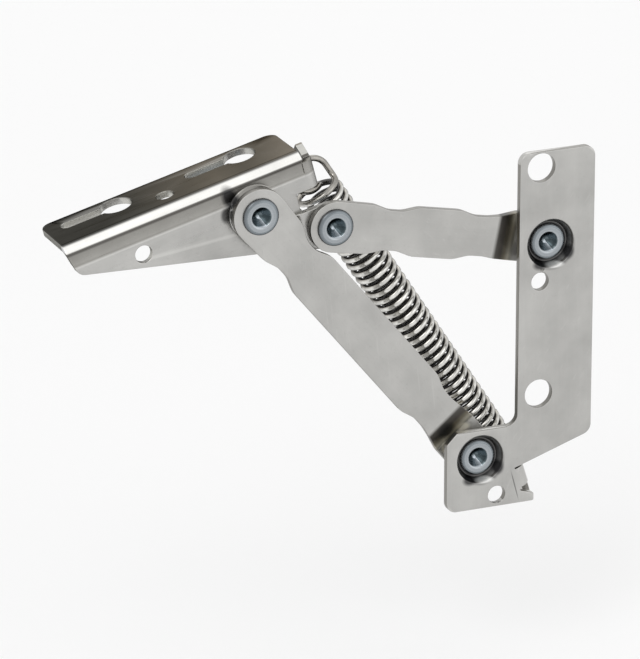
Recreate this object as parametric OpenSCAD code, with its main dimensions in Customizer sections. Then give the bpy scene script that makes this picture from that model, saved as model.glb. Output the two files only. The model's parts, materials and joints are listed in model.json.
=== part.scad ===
// Lift-up flap stay for a cabinet, left-hand piece of a mirror-image pair, drawn with the flap open.
// The wall face of the plate lies on Y = 0, the mechanism stands behind it towards +Y, and Z is up.
// The origin lies on the wall face, halfway between the two large screw holes.

/* [Sheet] */
// Thickness of the steel sheet that every flat piece is pressed from
sheet_t = 2; // [1.8:0.05:2.1]
// Inside radius of a bend in the sheet
bend_r = 1; // [0.6:0.1:1.4]

/* [Wall plate] */
// Distance between the two large screw holes, two steps of the 32 mm cabinet grid
screw_pitch = 64; // [62:0.5:68]
// Distance from the screw holes to the front edge of the upright strip
strip_front = 6.2; // [5.6:0.1:8]
// Width of the upright strip
strip_w = 22; // [20.5:0.5:26]
// Metal above the upper screw hole
strip_above = 4.5; // [4.5:0.1:10]
// Distance that the rear edge of the strip runs down below the origin
strip_rear_drop = 45; // [42:0.5:47]
// Distance that the foot reaches in front of the screw holes
foot_front = 26.9; // [26:0.1:32]
// Level of the top edge of the foot, below the origin
foot_top_drop = 40; // [38:0.1:40]
// Level of the bottom edge of the foot, below the origin
foot_bottom_drop = 62.7; // [62.3:0.1:68]
// Side of the chamfer on the front corner of the foot
foot_chamfer = 3; // [1:0.1:5]
// Rounding of the corners of the plate
plate_corner_r = 3; // [1:0.1:4]
// Radius of the large screw holes
screw_hole_r = 4; // [3:0.05:4.2]
// Radius of the small holes
pilot_hole_r = 2.5; // [1.5:0.05:2.7]
// Depth of the dimples that hide the rivet tails
dimple_depth = 2.4; // [2.2:0.05:2.6]
// Radius of the flat floor of a dimple
dimple_floor_r = 5.6; // [5.4:0.05:6]
// Radius of a dimple at the wall face
dimple_mouth_r = 6.9; // [6.5:0.05:7.1]

/* [Linkage] */
// Upper wall pivot, behind the screw holes
upper_pivot_x = 3; // [2:0.1:4]
// Upper wall pivot, above the origin
upper_pivot_z = 10.4; // [10:0.1:12]
// Lower wall pivot, in front of the screw holes
lower_pivot_front = 17; // [16.5:0.1:17.5]
// Lower wall pivot, below the origin
lower_pivot_drop = 48.4; // [48.2:0.1:48.8]
// Length of the lower arm between its pivots
lower_arm_l = 99; // [94:0.5:101]
// Angle of the lower arm above the horizontal, measured from +X
lower_arm_angle = 129.3; // [129:0.1:132]
// Angle by which the flap bracket falls towards its free end
flap_tilt = 14.8; // [13:0.1:15.5]
// Link pivot behind the flap pivot, along the bracket
link_u = 19; // [18.6:0.1:20]
// Link pivot below the flap pivot, square to the bracket
link_drop = 11; // [10.6:0.1:12]

/* [Arms] */
// Half the width of the lower arm
lower_arm_half_w = 7; // [6.6:0.1:7.4]
// Half the width of the upper arm
upper_arm_half_w = 6.8; // [6.2:0.1:7.2]
// Radius of the lower arm's end at the flap bracket
flap_end_r = 7.5; // [7.2:0.1:7.8]
// Radius of the upper arm's end at the link pivot
link_end_r = 7; // [6.5:0.1:7.4]
// Radius of the arm ends at the wall plate
wall_end_r = 6.8; // [6.2:0.1:7.4]
// Half width of the arms at their shallow waists
waist_half_w = 5.5; // [4.8:0.1:6]
// Half width of the lower arm where the upper arm's end stops beside it
stop_half_w = 4.9; // [4.6:0.05:5.1]
// Distance from a pivot at the flap bracket to the middle of the near waist
near_waist_s = 17; // [15:0.5:19]
// Distance from a pivot at the wall plate to the middle of the far waist
far_waist_s = 20.3; // [18:0.1:22]
// Distance from a wall pivot to the near end of the offset bend
offset_near = 8.8; // [8.6:0.1:9.5]
// Length over which an arm is offset
offset_run = 6; // [5:0.1:8]

/* [Flap bracket] */
// Width of the flange that carries the flap
flange_w = 19.2; // [18.6:0.1:24]
// Reach of the bracket from the flap pivot to its free end
bracket_reach = 52; // [51:0.5:60]
// Reach of the flange behind the flap pivot
flange_rear = 16.4; // [15.8:0.1:17]
// Height of the flange's outer face over the flap pivot
flange_h = 10.6; // [10.3:0.1:12]
// Level of the lowest point of the web's free end, over the flap pivot
web_tip_h = 2.1; // [0.5:0.1:3]
// Amount by which the web's free end is drawn in below the flange
web_tip_in = 1.7; // [0:0.1:3]
// Level of the crease under the flange, over the flap pivot
crease_h = 4.4; // [3.5:0.1:5]
// Depth of the crease
crease_depth = 0.5; // [0.2:0.05:0.6]
// Rounding of the flange's and the web's free corners
bracket_corner_r = 3; // [1:0.1:4]
// Radius of the round ends of the keyholes
keyhole_r = 4.4; // [3.5:0.05:4.6]
// Width of the keyhole slots
keyhole_slot_w = 3.8; // [3:0.05:5]
// Length of a keyhole from its round centre to the centre of its slot end
keyhole_run = 13.9; // [10:0.1:14.5]
// Distance between the two keyholes
keyhole_pitch = 36; // [30:0.5:38]
// Distance from the flap pivot to the rear keyhole's round centre
keyhole_rear_u = 4; // [2:0.1:6]
// Distance from the web's outer face to the keyhole centres
keyhole_in = 14.2; // [13:0.1:14.4]
// Distance from the flap pivot to the middle hole, towards the free end
middle_hole_u = 20; // [17.5:0.1:20.5]
// Distance from the web's outer face to the middle hole
middle_hole_in = 8.5; // [7.5:0.1:9.5]
// Radius of the middle hole and of the hole in the web
small_hole_r = 2.4; // [1.5:0.05:2.6]
// Distance from the flap pivot to the hole in the web, towards the free end
web_hole_u = 32.1; // [28:0.1:36]
// Level of the hole in the web over the flap pivot
web_hole_v = 0.9; // [0:0.1:1.5]
// Radius of the flat face of the boss at the flap pivot
boss_face_r = 6.4; // [6.2:0.05:6.8]
// Radius of the boss where it leaves the web
boss_base_r = 7.6; // [7.4:0.05:8]
// Radius of the tongue round the link pivot
tongue_r = 6.3; // [6.1:0.05:6.6]
// Distance from the flap pivot to the start of the tongue's offset bend
tongue_bend_u = 8.2; // [8:0.1:8.4]
// Length of the tongue's offset bend
tongue_bend_run = 3; // [2.8:0.1:3.2]
// Height of the window between the tongue and the neck of the hook tab
window_h = 4.9; // [4:0.1:5.4]

/* [Hook tabs] */
// Metal left round the hole of a hook tab, towards its free edge
hook_edge = 0.9; // [0.8:0.1:3]
// Radius of the holes that the spring loops pass through
hook_hole_r = 1.8; // [1.75:0.05:1.85]
// Level of the bracket tab's highest corner over the flap pivot
bracket_tab_top = 10.8; // [9.5:0.1:11.5]
// Level of the bracket tab's upper edge at its root, over the flap pivot
bracket_tab_root_top = 8; // [7:0.1:8.5]
// Foot tab's root, in front of the screw holes
foot_tab_front = 6.5; // [6:0.1:6.8]
// Foot tab's root, below the origin
foot_tab_drop = 52.4; // [52:0.1:52.8]
// Angle of the foot tab's root line away from the vertical
foot_tab_lean = 18; // [14:0.5:20]
// Width of the foot tab's free edge
foot_tab_w = 10.6; // [10.2:0.1:12]
// Width of the foot tab at its root
foot_tab_root_w = 6.2; // [5.5:0.1:6.6]

/* [Rivets] */
// Radius of the rivet shanks
shank_r = 2.5; // [2.2:0.05:2.6]
// Radius of the rivet heads
head_r = 5.3; // [4.8:0.05:5.6]
// Thickness of the rivet heads
head_h = 1.1; // [0.8:0.05:1.2]
// Radius of the formed rivet tails
tail_r = 5; // [4.5:0.05:5.2]
// Thickness of the formed rivet tails
tail_h = 1; // [0.8:0.05:1.1]
// Radius of the hollow in a rivet tail
hollow_r = 2.65; // [2:0.05:3]
// Depth of the hollow in a rivet tail
hollow_depth = 2.6; // [1.5:0.1:3]
// Radius at the bottom of the hollow
hollow_floor_r = 0.8; // [0.4:0.1:1.2]
// Height of the broken edges of the rivets
rivet_edge = 0.3; // [0.1:0.05:0.4]

/* [Spring] */
// Diameter of the spring wire
wire_d = 1.7; // [1.4:0.05:1.8]
// Mean radius of the coil and of its end loops
coil_r = 5; // [4.9:0.05:5.1]
// Distance from the centre of an end loop to the coil
loop_rise = 6.5; // [6:0.1:7.5]
// Plane of the spring's axis behind the wall face
spring_y = 14.3; // [14:0.1:16]
// Upper loop's centre behind the flap pivot, along the bracket
upper_loop_u = 19.9; // [19.4:0.1:20.2]
// Upper loop's centre below the flap pivot, square to the bracket
upper_loop_drop = 0.1; // [0:0.1:0.5]
// Lower loop's centre in front of the screw holes
lower_loop_front = 4.3; // [4:0.1:4.6]
// Lower loop's centre below the origin
lower_loop_drop = 53.7; // [53.4:0.1:54]
// Arc covered by an end loop, in degrees
loop_arc = 290; // [270:5:300]

/* [Clearances] */
// Gap between the flat faces of two pieces that turn on each other
face_gap = 0.15; // [0.1:0.01:0.2]
// Gap between a pivot bore and the shank that turns in it
pivot_gap = 0.05; // [0.02:0.01:0.1]
// Gap between a shank and the piece that it is riveted tight to
hold_gap = 0.01; // [0:0.01:0.02]
// Gap under each rivet head
head_gap = 0.05; // [0.02:0.01:0.1]
// Play of the shank in the bracket's link hole
link_play = 1.75; // [1.65:0.05:1.8]
// Gap between a loop and the edge of its hole that it pulls against
seat_gap = 0.3; // [0.25:0.05:0.35]
// Gap between the web and the lower arm
web_gap = 1.7; // [1.65:0.05:1.8]

/* [Hidden] */
$fn = 72;

nickel = [0.69, 0.69, 0.67];
zinc = [0.72, 0.76, 0.79];
spring_steel = [0.78, 0.78, 0.77];

// Largest turn, in degrees, of one straight step in the rounding of an outline's corner
corner_step = 6;
// Length by which a cutter passes a face, and by which joined solids run into each other
over = 0.5;
// Share of an arm's half width that rounds each corner of its end
end_round = 0.999;
// Largest reach of a strip along or across which a profile is drawn
reach = 200;

// Layers, as distances behind the wall face
arm_y = dimple_depth;
offset_y = arm_y + sheet_t + face_gap;
arm_back_y = offset_y + sheet_t;
web_y = arm_y + sheet_t + web_gap;
tail_y = arm_y - tail_h;
head_y = arm_back_y + head_gap;
outer_bend_r = bend_r + sheet_t;

// Pivots, as X and Z
upper_pivot = [upper_pivot_x, upper_pivot_z];
lower_pivot = [-lower_pivot_front, -lower_pivot_drop];
flap_pivot = lower_pivot + lower_arm_l * direction(lower_arm_angle);
link_local = [link_u, -link_drop];
link_pivot = flap_pivot + turned(link_local, flap_tilt);
upper_arm_l = norm(upper_pivot - link_pivot);

bore_r = shank_r + pivot_gap;
hold_r = shank_r + hold_gap;

// Plate outline
strip_top = screw_pitch / 2 + strip_above;
strip_rear = strip_w - strip_front;
foot_tab_root = [-foot_tab_front, -foot_tab_drop];
foot_tab_down = turned([0, -1], foot_tab_lean);
foot_tab_out = turned([1, 0], foot_tab_lean);
foot_tab_step = 4.6;
foot_tab_relief = 0.4;
foot_corner_x = -1;
foot_corner_w = 2.2;
foot_tab_flat = 0.3;
foot_notch_in = 0.3;
foot_notch_w = 0.9;
foot_pilot = [-12.1, 3.35 - foot_bottom_drop];

// Bracket
flange_y = web_y + crease_depth;
crease_run = 0.8;
tongue_top = -link_drop + tongue_r;
window_top = tongue_top + window_h;
window_u = 12.2;
window_corner_r = 0.6;
tab_face_u = flange_rear + outer_bend_r;
tab_mid_u = tab_face_u - sheet_t / 2;
tab_peak_in = 4;
tab_shoulder_y = web_y + outer_bend_r;
recess_depth_y = offset_y + sheet_t;
recess_floor_r = head_r + 0.45;
recess_mouth_r = head_r + 1.4;
tongue_bend_end = tongue_bend_u + tongue_bend_run;
link_hole_r = shank_r + link_play;

// Spring, in its own frame: z runs from the lower loop to the upper one, x lies in the plane of the loops
lower_loop = [-lower_loop_front, -lower_loop_drop];
upper_loop_local = [upper_loop_u, -upper_loop_drop];
upper_loop = flap_pivot + turned(upper_loop_local, flap_tilt);
spring_l = norm(upper_loop - lower_loop);
spring_lean = atan2(upper_loop.x - lower_loop.x, upper_loop.y - lower_loop.y);
split_z = spring_l - 1.3 * wire_d;
sleeve_r = coil_r + 0.1;
hook_reach_y = spring_y + hook_hole_r + hook_edge;
// Farthest that the upper loop's centre moves away from its tab as the flap closes
loop_drift = 0.5;

// Centre of the hole in each tab, so that the loop pulls against its edge at the tab's far face
bracket_hook_v = upper_loop_local.y + wire_inside(upper_loop_local.x + loop_drift - tab_face_u + sheet_t)
    - seat_gap + hook_hole_r;
foot_loop_from_root = lower_loop - foot_tab_root;
foot_loop_out = foot_loop_from_root * foot_tab_out;
foot_tab_mid = outer_bend_r - sheet_t / 2;
foot_hook_s = foot_loop_from_root * foot_tab_down
    + wire_inside(max(abs(foot_loop_out - outer_bend_r), abs(foot_loop_out - outer_bend_r + sheet_t)))
    - seat_gap + hook_hole_r;

// Unit direction at an angle from +X
function direction(angle) = [cos(angle), sin(angle)];

// A point turned about the origin
function turned(p, angle) = [p.x * cos(angle) - p.y * sin(angle), p.x * sin(angle) + p.y * cos(angle)];

// Height of the inner side of a loop's wire over a line at this distance from the loop's centre
function wire_inside(distance) = sqrt(pow(coil_r - wire_d / 2, 2) - distance * distance);

function unit(v) = v / norm(v);

// Points of the arc that rounds one corner of an outline
function corner_arc(before, corner, after, r) =
    let (
        back = unit(before - corner),
        ahead = unit(after - corner),
        half = acos(back * ahead) / 2,
        centre = corner + unit(back + ahead) * r / sin(half),
        first = corner + back * r / tan(half) - centre,
        last = corner + ahead * r / tan(half) - centre,
        start = atan2(first.y, first.x),
        turn = atan2(first.x * last.y - first.y * last.x, first * last),
        steps = max(2, ceil(abs(turn) / corner_step))
    )
    [for (i = [0:steps]) centre + r * direction(start + turn * i / steps)];

function xy(p) = [p.x, p.y];

// Outline from corners given as x, y and rounding radius
function rounded(corners) =
    let (n = len(corners))
    [for (i = [0:n - 1])
        let (c = corners[i], before = corners[(i + n - 1) % n], after = corners[(i + 1) % n])
        each c.z > 0 ? corner_arc(xy(before), xy(c), xy(after), c.z) : [xy(c)]];

// Point where a line from p touches a circle, on the side to its right
function touch_point(p, centre, r) =
    let (
        to_centre = centre - p,
        side = asin(r / norm(to_centre)),
        along = sqrt(to_centre * to_centre - r * r)
    )
    p + along * unit(turned(to_centre, -side));

// One edge of an arm, from its upper end to its wall end, on the +y side or, for side -1, on the other
function arm_edge(side, length, half_w, first_r, near_half_w) =
    let (flat = 2, span = 6.5, blend_r = 7, far_s = length - far_waist_s)
    [
        [-first_r, side * first_r, end_round * first_r],
        [flat, side * first_r, blend_r],
        [near_waist_s - span, side * half_w, blend_r],
        [near_waist_s - flat, side * near_half_w, blend_r],
        [near_waist_s + flat, side * near_half_w, blend_r],
        [near_waist_s + span, side * half_w, blend_r],
        [far_s - span, side * half_w, blend_r],
        [far_s - flat, side * waist_half_w, blend_r],
        [far_s + flat, side * waist_half_w, blend_r],
        [length - offset_near, side * wall_end_r, blend_r],
        [length + wall_end_r, side * wall_end_r, end_round * wall_end_r]
    ];

function reversed(list) = [for (i = [len(list) - 1:-1:0]) list[i]];

// Solid of an outline drawn in X and Z, from one Y to another
module slab(y0, y1) {
    translate([0, y1, 0]) rotate([90, 0, 0]) linear_extrude(y1 - y0) children();
}

// Cylinder or cone along Y at an X, Z point
module post(p, y0, y1, r0, r1) {
    translate([p.x, y0, p.y]) rotate([-90, 0, 0]) cylinder(h = y1 - y0, r1 = r0, r2 = r1);
}

module bore(p, r) {
    post(p, -reach / 4, reach / 4, r, r);
}

// Sheet strip that steps from one Y to another, drawn along X and extruded along Z
module stepped_strip(x_start, run, y_from, y_to, z0, z1) {
    rise = y_to - y_from;
    shift = -sheet_t * tan(atan2(rise, run) / 2);
    front_r = rise > 0 ? outer_bend_r : bend_r;
    back_r = rise > 0 ? bend_r : outer_bend_r;
    front = [
        [-reach, y_from, 0],
        [x_start, y_from, front_r],
        [x_start + run, y_to, back_r],
        [reach, y_to, 0]
    ];
    back = [
        [reach, y_to + sheet_t, 0],
        [x_start + run + shift, y_to + sheet_t, front_r],
        [x_start + shift, y_from + sheet_t, back_r],
        [-reach, y_from + sheet_t, 0]
    ];
    translate([0, 0, z0]) linear_extrude(z1 - z0) polygon(rounded(concat(front, back)));
}

module in_bracket() {
    translate([flap_pivot.x, 0, flap_pivot.y]) rotate([0, -flap_tilt, 0]) children();
}

// Moves an arm that is drawn along +X from the origin to its two pivots
module between(from, to) {
    span = to - from;
    translate([from.x, 0, from.y]) rotate([0, -atan2(span.y, span.x), 0]) children();
}

module plate_outline() {
    tab_corner = foot_tab_root - foot_tab_flat * foot_tab_out;
    tab_start = foot_tab_root + foot_tab_step * foot_tab_out;
    tab_end = tab_corner + foot_tab_root_w * foot_tab_down;
    notch_end = tab_end + foot_notch_w * foot_tab_down - foot_notch_in * foot_tab_out;
    polygon(rounded([
        [-strip_front, strip_top, plate_corner_r],
        [-strip_front, -foot_top_drop, plate_corner_r],
        [-foot_front + foot_chamfer, -foot_top_drop, foot_chamfer / 4],
        [-foot_front, -foot_top_drop - foot_chamfer, foot_chamfer / 4],
        [-foot_front, -foot_bottom_drop, plate_corner_r],
        [foot_corner_x, -foot_bottom_drop, bend_r / 2],
        [foot_corner_x, -foot_bottom_drop + foot_corner_w, 0],
        [notch_end.x, notch_end.y, 0],
        [tab_end.x, tab_end.y, 0],
        [tab_corner.x, tab_corner.y, 0],
        [tab_start.x, tab_start.y, 0],
        [strip_rear, -strip_rear_drop, plate_corner_r],
        [strip_rear, strip_top, plate_corner_r]
    ]));
}

module in_foot_tab() {
    translate([foot_tab_root.x, 0, foot_tab_root.y]) rotate([0, -foot_tab_lean, 0]) children();
}

// Tab bent back from the foot: its frame has x across the tab's face, y behind the wall and z up the root
module foot_tab() {
    in_foot_tab() {
        translate([0, 0, -foot_tab_root_w]) linear_extrude(foot_tab_root_w - foot_tab_relief) polygon(rounded([
            [-foot_tab_flat - over, 0, 0],
            [outer_bend_r, 0, outer_bend_r],
            [outer_bend_r, outer_bend_r + 2 * over, 0],
            [outer_bend_r - sheet_t, outer_bend_r + 2 * over, 0],
            [outer_bend_r - sheet_t, sheet_t, bend_r],
            [-foot_tab_flat - over, sheet_t, 0]
        ]));
        rotate([90, 0, 90]) translate([0, 0, outer_bend_r - sheet_t]) linear_extrude(sheet_t) polygon(rounded([
            [outer_bend_r + over / 2, -foot_tab_root_w, 0],
            [outer_bend_r + over, -foot_tab_w, bend_r],
            [hook_reach_y, -foot_tab_w, bend_r],
            [hook_reach_y, -foot_tab_relief, bend_r],
            [outer_bend_r + over / 2, -foot_tab_relief, 0]
        ]));
    }
}

// Hole in a tab, bored along the tab's own x
module hook_hole(x, z) {
    translate([x - outer_bend_r, spring_y, z]) rotate([0, 90, 0]) cylinder(h = 2 * outer_bend_r, r = hook_hole_r);
}

module wall_plate() {
    color(nickel) difference() {
        union() {
            slab(0, sheet_t) plate_outline();
            foot_tab();
            for (p = [upper_pivot, lower_pivot]) {
                post(p, sheet_t - over, sheet_t + dimple_depth, dimple_mouth_r + 1, dimple_floor_r + 1.3);
            }
        }
        for (p = [upper_pivot, lower_pivot]) {
            post(p, -over, 0, dimple_mouth_r, dimple_mouth_r);
            post(p, 0, dimple_depth, dimple_mouth_r, dimple_floor_r);
            bore(p, hold_r);
        }
        for (side = [-1, 1]) {
            bore([0, side * screw_pitch / 2], screw_hole_r);
        }
        bore([0, 0], pilot_hole_r);
        bore(foot_pilot, pilot_hole_r);
        in_foot_tab() hook_hole(foot_tab_mid, -foot_hook_s);
    }
}

// Pressed arm from the origin along +X, with its wall end offset away from the wall
module pressed_arm(length, half_w, first_r, left_half_w, right_half_w) {
    left = arm_edge(1, length, half_w, first_r, left_half_w);
    right = arm_edge(-1, length, half_w, first_r, right_half_w);
    intersection() {
        slab(0, reach / 4) polygon(rounded(concat(right, reversed(left))));
        stepped_strip(length - offset_near - offset_run, offset_run, arm_y, offset_y, -reach / 4, reach / 4);
    }
}

module lower_arm() {
    color(nickel) difference() {
        between(flap_pivot, lower_pivot) {
            pressed_arm(lower_arm_l, lower_arm_half_w, flap_end_r, stop_half_w, waist_half_w);
        }
        bore(flap_pivot, hold_r);
        bore(lower_pivot, bore_r);
    }
}

module upper_arm() {
    color(nickel) difference() {
        between(link_pivot, upper_pivot) {
            pressed_arm(upper_arm_l, upper_arm_half_w, link_end_r, waist_half_w, waist_half_w);
        }
        bore(link_pivot, hold_r);
        bore(upper_pivot, bore_r);
    }
}

// Web and bend of the bracket, as a profile in Y and V
module web_profile() {
    polygon(rounded([
        [web_y + sheet_t, -reach / 4, 0],
        [web_y + sheet_t, crease_h, 0],
        [flange_y + sheet_t, crease_h + crease_run, 0],
        [flange_y + sheet_t, flange_h - sheet_t, bend_r],
        [flange_y + outer_bend_r + over, flange_h - sheet_t, 0],
        [flange_y + outer_bend_r + over, flange_h, 0],
        [flange_y, flange_h, outer_bend_r],
        [flange_y, crease_h + crease_run, 0],
        [web_y, crease_h, 0],
        [web_y, -reach / 4, 0]
    ]));
}

// Side view of the web, as an outline in U and V
module web_outline() {
    tip = [web_tip_in - bracket_reach, web_tip_h];
    touch = touch_point(tip, link_local, tongue_r);
    polygon(rounded([
        [-bracket_reach, flange_h + over, 0],
        [-bracket_reach, flange_h - sheet_t, 0],
        [tip.x, tip.y, bracket_corner_r],
        [touch.x, touch.y, 0],
        [link_local.x, tongue_top, 0],
        [window_u, tongue_top, window_corner_r],
        [window_u, window_top, window_corner_r],
        [flange_rear, window_top, 0],
        [flange_rear, flange_h + over, 0]
    ]));
    translate(link_local) circle(tongue_r);
}

// Flange outline in U and Y
module flange_outline() {
    polygon(rounded([
        [flange_rear, flange_y + outer_bend_r, 0],
        [flange_rear, flange_y + flange_w, bracket_corner_r],
        [-bracket_reach, flange_y + flange_w, bracket_corner_r],
        [-bracket_reach, flange_y + outer_bend_r, 0]
    ]));
}

module web() {
    intersection() {
        union() {
            intersection() {
                rotate([90, 0, 90]) translate([0, 0, -reach]) linear_extrude(2 * reach) web_profile();
                slab(-over, reach / 4) union() {
                    translate([-reach, -reach / 2]) square([reach + tongue_bend_u, reach]);
                    translate([0, tongue_top]) square([reach, reach]);
                }
            }
            stepped_strip(tongue_bend_u, tongue_bend_run, web_y, offset_y, -reach / 4, tongue_top);
        }
        slab(-over, reach / 4) web_outline();
    }
}

module keyhole(u) {
    translate([u, flange_y + keyhole_in - crease_depth, flange_h - sheet_t - over]) {
        linear_extrude(sheet_t + 2 * over) union() {
            circle(keyhole_r);
            translate([-keyhole_run, -keyhole_slot_w / 2]) square([keyhole_run, keyhole_slot_w]);
            translate([-keyhole_run, 0]) circle(keyhole_slot_w / 2);
        }
    }
}

// Tab bent back from the rear end of the web
module bracket_tab() {
    intersection() {
        translate([0, 0, window_top - over]) linear_extrude(reach / 4) polygon(rounded([
            [flange_rear - over, web_y, 0],
            [tab_face_u, web_y, outer_bend_r],
            [tab_face_u, hook_reach_y + over, 0],
            [tab_face_u - sheet_t, hook_reach_y + over, 0],
            [tab_face_u - sheet_t, web_y + sheet_t, bend_r],
            [flange_rear - over, web_y + sheet_t, 0]
        ]));
        rotate([90, 0, 90]) linear_extrude(reach / 4) polygon(rounded([
            [0, window_top, 0],
            [hook_reach_y, window_top, bend_r],
            [hook_reach_y, bracket_hook_v + hook_hole_r + hook_edge, bend_r],
            [hook_reach_y - tab_peak_in, bracket_tab_top, bend_r / 2],
            [tab_shoulder_y, bracket_tab_root_top, bend_r],
            [0, bracket_tab_root_top, 0]
        ]));
    }
}

module flap_bracket() {
    color(nickel) in_bracket() difference() {
        union() {
            web();
            translate([0, 0, flange_h - sheet_t]) linear_extrude(sheet_t) flange_outline();
            bracket_tab();
            post([0, 0], offset_y, flange_y + over, boss_face_r, boss_base_r);
        }
        post([0, 0], recess_depth_y, web_y + sheet_t, recess_floor_r, recess_mouth_r);
        post([0, 0], web_y + sheet_t, flange_y + sheet_t + over, recess_mouth_r, recess_mouth_r);
        bore([0, 0], bore_r);
        bore(link_local, link_hole_r);
        bore([-web_hole_u, web_hole_v], small_hole_r);
        for (i = [0, 1]) {
            keyhole(keyhole_rear_u - i * keyhole_pitch);
        }
        translate([-middle_hole_u, web_y + middle_hole_in, 0]) cylinder(h = reach / 4, r = small_hole_r);
        hook_hole(tab_mid_u, bracket_hook_v);
    }
}

// Rivet with a flat head behind the mechanism and a hollow, formed tail towards the wall
module rivet(p) {
    head_top = head_y + head_h;
    color(zinc) translate([p.x, 0, p.y]) rotate([-90, 0, 0]) rotate_extrude() polygon([
        [0, tail_y + hollow_depth],
        [hollow_floor_r, tail_y + hollow_depth],
        [hollow_r, tail_y + tail_h / 2],
        [hollow_r + rivet_edge, tail_y],
        [tail_r - rivet_edge, tail_y],
        [tail_r, tail_y + rivet_edge],
        [tail_r, arm_y],
        [shank_r, arm_y],
        [shank_r, head_y],
        [head_r, head_y],
        [head_r, head_top - rivet_edge],
        [head_r - rivet_edge, head_top],
        [0, head_top]
    ]);
}

module rivet_upper_wall() {
    rivet(upper_pivot);
}

module rivet_lower_wall() {
    rivet(lower_pivot);
}

module rivet_flap() {
    rivet(flap_pivot);
}

module rivet_link() {
    rivet(link_pivot);
}

module in_spring() {
    translate([lower_loop.x, spring_y, lower_loop.y]) rotate([0, spring_lean, 0]) children();
}

// End loop in the plane of x and z, from a straight lead at this angle and back over its arc
module loop(start) {
    rotate([90, 0, 0]) rotate([0, 0, start]) {
        rotate_extrude(angle = -loop_arc) translate([coil_r, 0]) circle(d = wire_d);
    }
}

// Straight end of the wire, from one height to another, at this side of the coil
module lead(x, z0, z1) {
    translate([x, 0, z0]) cylinder(h = z1 - z0, d = wire_d);
}

// The coil is a plain sleeve with about as much metal as its turns
module tension_spring() {
    coil_end = spring_l - loop_rise;
    color(spring_steel) in_spring() union() {
        difference() {
            translate([0, 0, loop_rise]) cylinder(h = coil_end - loop_rise, r = sleeve_r + wire_d / 2);
            translate([0, 0, loop_rise - over]) cylinder(h = coil_end - loop_rise + 2 * over, r = sleeve_r);
        }
        loop(0);
        lead(coil_r, 0, loop_rise + over);
        lead(-coil_r, coil_end - over, split_z);
    }
}

module spring_upper_loop() {
    color(spring_steel) in_spring() union() {
        lead(-coil_r, split_z, spring_l);
        translate([0, 0, spring_l]) loop(180);
    }
}

wall_plate();
flap_bracket();
lower_arm();
upper_arm();
rivet_upper_wall();
rivet_lower_wall();
rivet_flap();
rivet_link();
tension_spring();
spring_upper_loop();
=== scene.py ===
"""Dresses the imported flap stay: pressed sheets, turned rivets, the wound spring and their finishes."""

import json
import logging
import math
from collections.abc import Sequence
from dataclasses import dataclass
from enum import Enum

import bmesh
import bpy
from mathutils import Matrix, Vector
from mathutils.bvhtree import BVHTree


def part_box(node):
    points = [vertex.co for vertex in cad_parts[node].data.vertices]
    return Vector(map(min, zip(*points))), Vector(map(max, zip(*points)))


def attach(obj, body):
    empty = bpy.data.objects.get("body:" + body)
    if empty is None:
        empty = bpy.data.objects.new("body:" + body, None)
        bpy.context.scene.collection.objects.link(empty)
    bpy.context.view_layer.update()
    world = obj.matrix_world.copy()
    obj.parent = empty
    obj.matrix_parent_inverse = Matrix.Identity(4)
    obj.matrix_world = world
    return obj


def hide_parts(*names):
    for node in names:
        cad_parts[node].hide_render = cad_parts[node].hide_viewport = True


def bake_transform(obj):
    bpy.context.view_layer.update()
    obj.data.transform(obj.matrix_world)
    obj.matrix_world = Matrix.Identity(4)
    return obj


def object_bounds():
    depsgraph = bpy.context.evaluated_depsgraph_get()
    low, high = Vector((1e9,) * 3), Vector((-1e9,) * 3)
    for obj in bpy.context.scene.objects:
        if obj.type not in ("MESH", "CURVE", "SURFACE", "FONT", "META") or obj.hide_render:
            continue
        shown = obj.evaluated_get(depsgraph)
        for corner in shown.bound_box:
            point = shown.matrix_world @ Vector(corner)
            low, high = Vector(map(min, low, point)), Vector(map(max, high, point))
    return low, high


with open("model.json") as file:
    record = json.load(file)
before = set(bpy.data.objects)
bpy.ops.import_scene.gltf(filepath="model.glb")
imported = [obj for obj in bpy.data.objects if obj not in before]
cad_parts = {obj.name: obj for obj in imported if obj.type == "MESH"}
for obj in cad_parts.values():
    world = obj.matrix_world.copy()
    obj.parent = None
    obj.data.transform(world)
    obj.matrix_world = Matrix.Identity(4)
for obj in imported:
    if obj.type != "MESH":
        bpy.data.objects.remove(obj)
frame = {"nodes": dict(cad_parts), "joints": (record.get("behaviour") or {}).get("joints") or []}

LOG = logging.getLogger("flap_stay")
MM = 0.001
CAD_LOW, CAD_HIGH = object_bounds()
# Corners nearer than this, in metres, are one corner
WELD = 0.001 * MM
# Attribute that holds where a face or a point lies on its finish's ramp of painted shade and highlights
TONE = "tone"

Colour = tuple[float, float, float]
Tones = tuple[tuple[float, Colour], ...]


class Axis(Enum):
    """An axis of a finish's own frame, by the name of its socket."""

    ALONG = "X"
    DEPTH = "Y"
    UP = "Z"


def mm(*values: float) -> Vector:
    """A point given in millimetres, in metres."""
    return Vector(values) * MM


def joint(name: str) -> dict:
    """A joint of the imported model.

    Args:
        name: The joint's name in the record.

    Returns:
        The record's entry for it.
    """
    return next(entry for entry in frame["joints"] if entry["name"] == name)


def pivot(name: str) -> Vector:
    """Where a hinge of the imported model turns, in metres."""
    return Vector(joint(name)["pos_m"])


def at_depth(place: Vector, depth: float = 0.0) -> Vector:
    """A place moved along Y to a depth behind the wall face, which is in millimetres."""
    return Vector((place.x, depth * MM, place.z))


def slope(start: Vector, end: Vector) -> float:
    """How far the line from one place to another dips under X, in degrees."""
    return math.degrees(math.atan2(start.z - end.z, end.x - start.x))


def node_centre(name: str) -> Vector:
    """The middle of a CAD node's box, in metres."""
    low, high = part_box(name)
    return (low + high) / 2


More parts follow.
